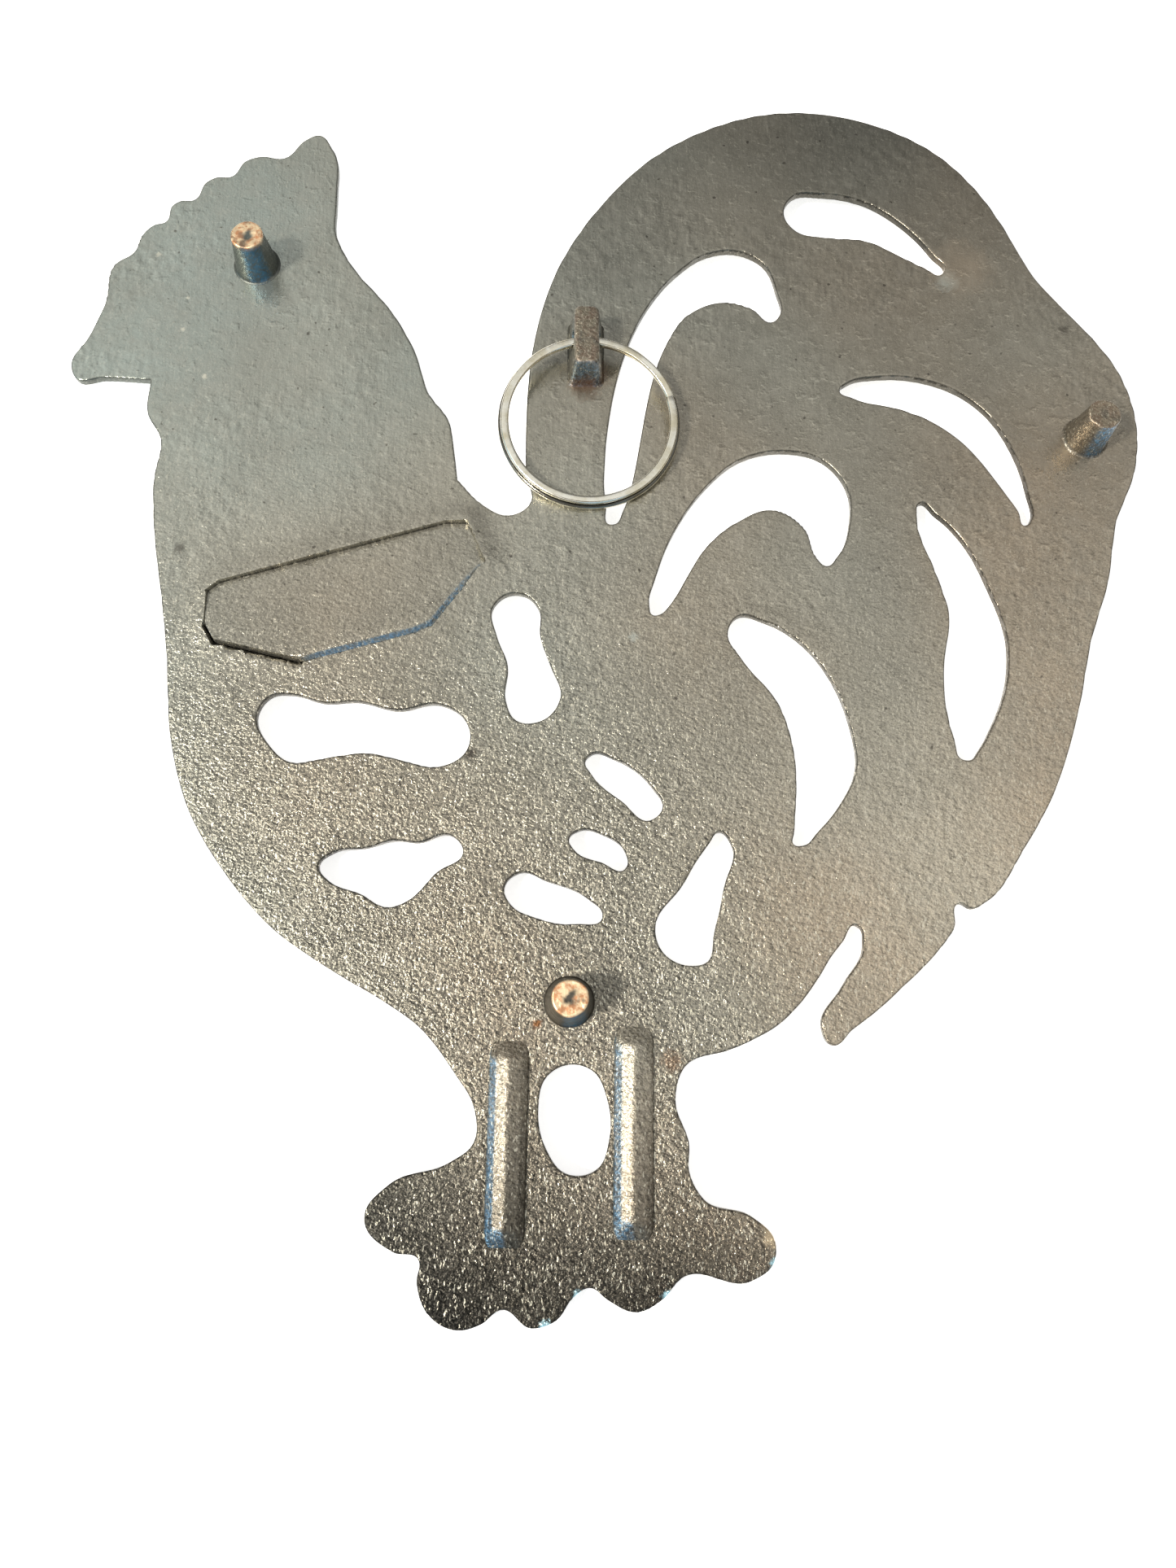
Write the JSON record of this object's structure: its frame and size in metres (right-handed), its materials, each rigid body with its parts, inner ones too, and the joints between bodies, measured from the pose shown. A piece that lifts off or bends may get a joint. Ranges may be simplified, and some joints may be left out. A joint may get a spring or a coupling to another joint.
{
  "type": "rooster trivet",
  "caption": "Flat cast rooster with pierced tail and body, round feet and a cast lug on its back, and a free-swinging split ring to hang it by.",
  "frame": {"origin": "middle of the bounding box on the ground: half way between beak and tail, half way between claws and comb, at the height of the show face", "axes": "+Z from the show face out of the plain back, along the feet; +Y from the claws towards the comb and tail top; +X from the beak towards the tail. Stored face down, as in the picture. In use it stands on its three feet, turned over, or hangs from the split ring."},
  "size_m": [0.1814, 0.206, 0.0116],
  "materials": {
    "plated_casting": "nickel plated, satin, with a sandy cast grain",
    "worn_foot": "nickel plated, worn through to the copper under-plate at the tips",
    "bright_steel": "bright nickel-plated spring steel"
  },
  "bodies": {
    "casting": {"rooster_plate": "plated_casting", "head_foot": "worn_foot", "tail_foot": "worn_foot", "breast_foot": "worn_foot", "hanger_lug": "worn_foot", "left_leg_rib": "plated_casting", "right_leg_rib": "plated_casting", "maker_panel": "plated_casting"},
    "ring": {"split_ring": "bright_steel"}
  },
  "joints": [
    {"name": "ring_swing", "type": "hinge", "parent": "casting", "child": "ring", "pos_m": [-0.0035, 0.0513, 0.0078], "axis": [-1, 0, 0], "range_deg": [0, 165]}
  ]
}
